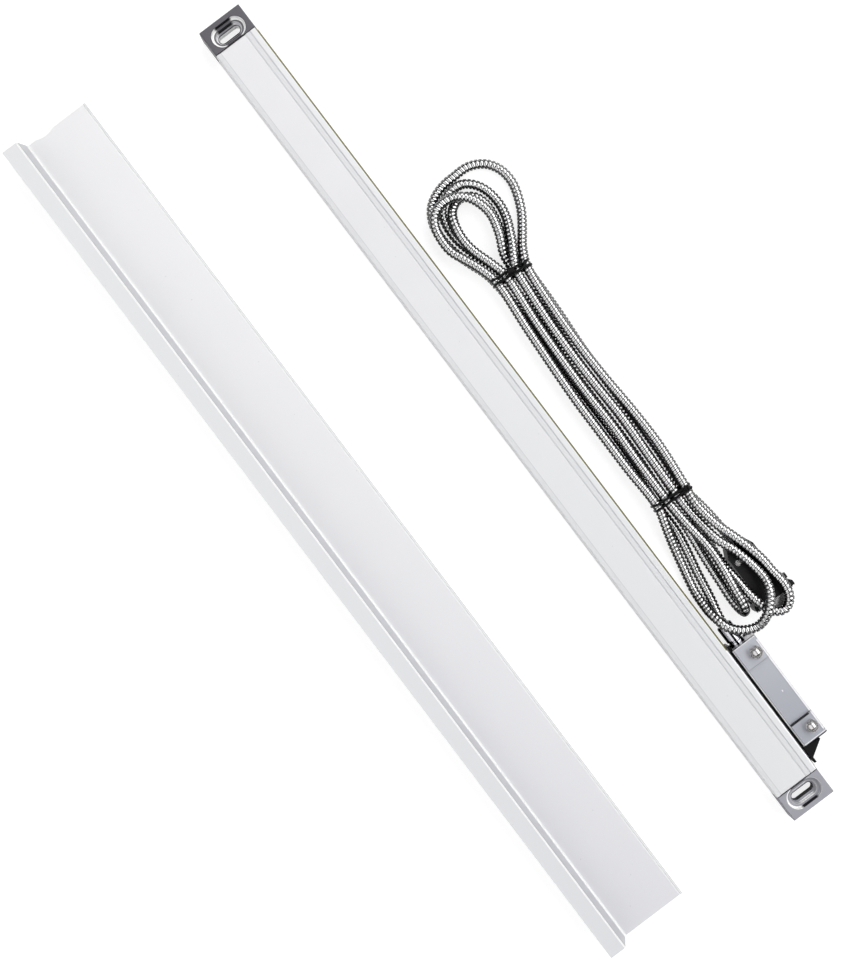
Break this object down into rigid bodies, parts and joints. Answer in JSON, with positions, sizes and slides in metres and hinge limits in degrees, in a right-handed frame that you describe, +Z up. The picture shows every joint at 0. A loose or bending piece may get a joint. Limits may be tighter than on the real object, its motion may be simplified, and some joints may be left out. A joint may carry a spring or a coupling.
{
  "type": "linear glass scale",
  "caption": "Linear glass scale: slim aluminium housing with a sliding reading head, armoured cable folded in a hank, and a separate dust cover.",
  "frame": {"origin": "on the housing's flat underside, midway between the two mounting slots", "axes": "+X along the scale towards the end where the head stands at rest, +Y towards the reading head, +Z up from the mounting plane"},
  "size_m": [0.6567, 0.2553, 0.0296],
  "materials": {
    "anodised_aluminium": "fine matt silver anodising",
    "cover_aluminium": "fine matt silver anodising",
    "dark_casting": "satin grey coating on a casting",
    "pale_casting": "satin die casting",
    "satin_casting": "satin blue-grey die casting",
    "scale_glass": "clear float glass with a fine grating",
    "lens_glass": "clear polished glass",
    "bedding_silicone": "cured silicone",
    "lip_seal": "olive-brown elastomer",
    "gasket_rubber": "black sheet rubber",
    "plated_steel": "bright plating",
    "polished_steel": "polished stainless steel",
    "blade_steel": "ground stainless steel",
    "bearing_steel": "ground bearing steel",
    "conduit_steel": "bright interlocked steel strip",
    "black_coat": "semi-matt black coating",
    "circuit_board": "solder-resist green",
    "cable_sheath": "black sheath",
    "ribbon_film": "amber film",
    "carriage_plastic": "glass-filled black plastic",
    "lamp_resin": "clear cast resin",
    "photocell": "dark silicon under resin",
    "tie_plastic": "black plastic-covered wire",
    "hood_plastic": "fine-grained black plastic",
    "insulator_plastic": "black moulding",
    "contact_brass": "gold-plated brass",
    "black_screw": "black knurled knob"
  },
  "bodies": {
    "scale": {"housing": "anodised_aluminium", "glass_scale": "scale_glass", "glass_bedding": "bedding_silicone", "lip_seal_upper": "lip_seal", "lip_seal_lower": "lip_seal", "end_block_left": "dark_casting", "end_block_right": "pale_casting", "end_gasket_left": "gasket_rubber", "end_gasket_right": "gasket_rubber", "end_block_screws": "plated_steel", "dust_cover": "cover_aluminium"},
    "head": {"head_foot": "black_coat", "foot_screws": "plated_steel", "blade": "blade_steel", "head_body": "satin_casting", "head_lid": "satin_casting", "head_gasket": "gasket_rubber", "head_board": "circuit_board", "head_bolts": "plated_steel", "head_nuts": "plated_steel", "cable_ferrule": "polished_steel", "cable_core": "cable_sheath", "signal_ribbon": "ribbon_film", "carriage_frame": "carriage_plastic", "race_axles": "bearing_steel", "coupling_wire": "bearing_steel", "lamp_board": "circuit_board", "lamp": "lamp_resin", "condenser_lens": "lens_glass", "index_grating": "scale_glass", "photocell_board": "circuit_board", "photocells": "photocell", "cable_lead": "conduit_steel", "cable_hank": "conduit_steel", "cable_tail": "conduit_steel", "cable_tie_upper": "tie_plastic", "cable_tie_lower": "tie_plastic", "plug_hood_upper": "hood_plastic", "plug_hood_lower": "hood_plastic", "hood_screws": "plated_steel", "plug_collar": "polished_steel", "plug_shell": "plated_steel", "plug_insulator": "insulator_plastic", "plug_contacts": "contact_brass"},
    "race_top_left": {"race_top_left": "bearing_steel"},
    "race_top_right": {"race_top_right": "bearing_steel"},
    "race_top_middle": {"race_top_middle": "bearing_steel"},
    "race_edge_left": {"race_edge_left": "bearing_steel"},
    "race_edge_right": {"race_edge_right": "bearing_steel"},
    "thumbscrew_left": {"thumbscrew_left": "black_screw"},
    "thumbscrew_right": {"thumbscrew_right": "black_screw"}
  },
  "joints": [
    {"name": "head_slide", "type": "slide", "parent": "scale", "child": "head", "axis": [1, 0, 0], "range_m": [-0.498, 0.002]},
    {"name": "race_top_left_spin", "type": "hinge", "parent": "head", "child": "race_top_left", "pos_m": [0.227, -0.006, 0.01455], "axis": [0, 1, 0], "continuous": true},
    {"name": "race_top_right_spin", "type": "hinge", "parent": "head", "child": "race_top_right", "pos_m": [0.269, -0.006, 0.01455], "axis": [0, 1, 0], "continuous": true},
    {"name": "race_top_middle_spin", "type": "hinge", "parent": "head", "child": "race_top_middle", "pos_m": [0.255, -0.001, 0.01455], "axis": [0, 1, 0], "continuous": true},
    {"name": "race_edge_left_spin", "type": "hinge", "parent": "head", "child": "race_edge_left", "pos_m": [0.233, 0.00395, 0.01], "axis": [0, 0, 1], "continuous": true},
    {"name": "race_edge_right_spin", "type": "hinge", "parent": "head", "child": "race_edge_right", "pos_m": [0.263, 0.00395, 0.01], "axis": [0, 0, 1], "continuous": true},
    {"name": "thumbscrew_left_turn", "type": "hinge", "parent": "head", "child": "thumbscrew_left", "pos_m": [0.192, 0.0501, 0.0075], "axis": [1, 0, 0], "continuous": true},
    {"name": "thumbscrew_right_turn", "type": "hinge", "parent": "head", "child": "thumbscrew_right", "pos_m": [0.192, 0.0751, 0.0075], "axis": [1, 0, 0], "continuous": true}
  ],
  "couplings": [
    {"joint": "race_top_left_spin", "follows": "head_slide", "rad_per_m": 400},
    {"joint": "race_top_right_spin", "follows": "head_slide", "rad_per_m": 400},
    {"joint": "race_top_middle_spin", "follows": "head_slide", "rad_per_m": 400},
    {"joint": "race_edge_left_spin", "follows": "head_slide", "rad_per_m": -400},
    {"joint": "race_edge_right_spin", "follows": "head_slide", "rad_per_m": -400}
  ]
}
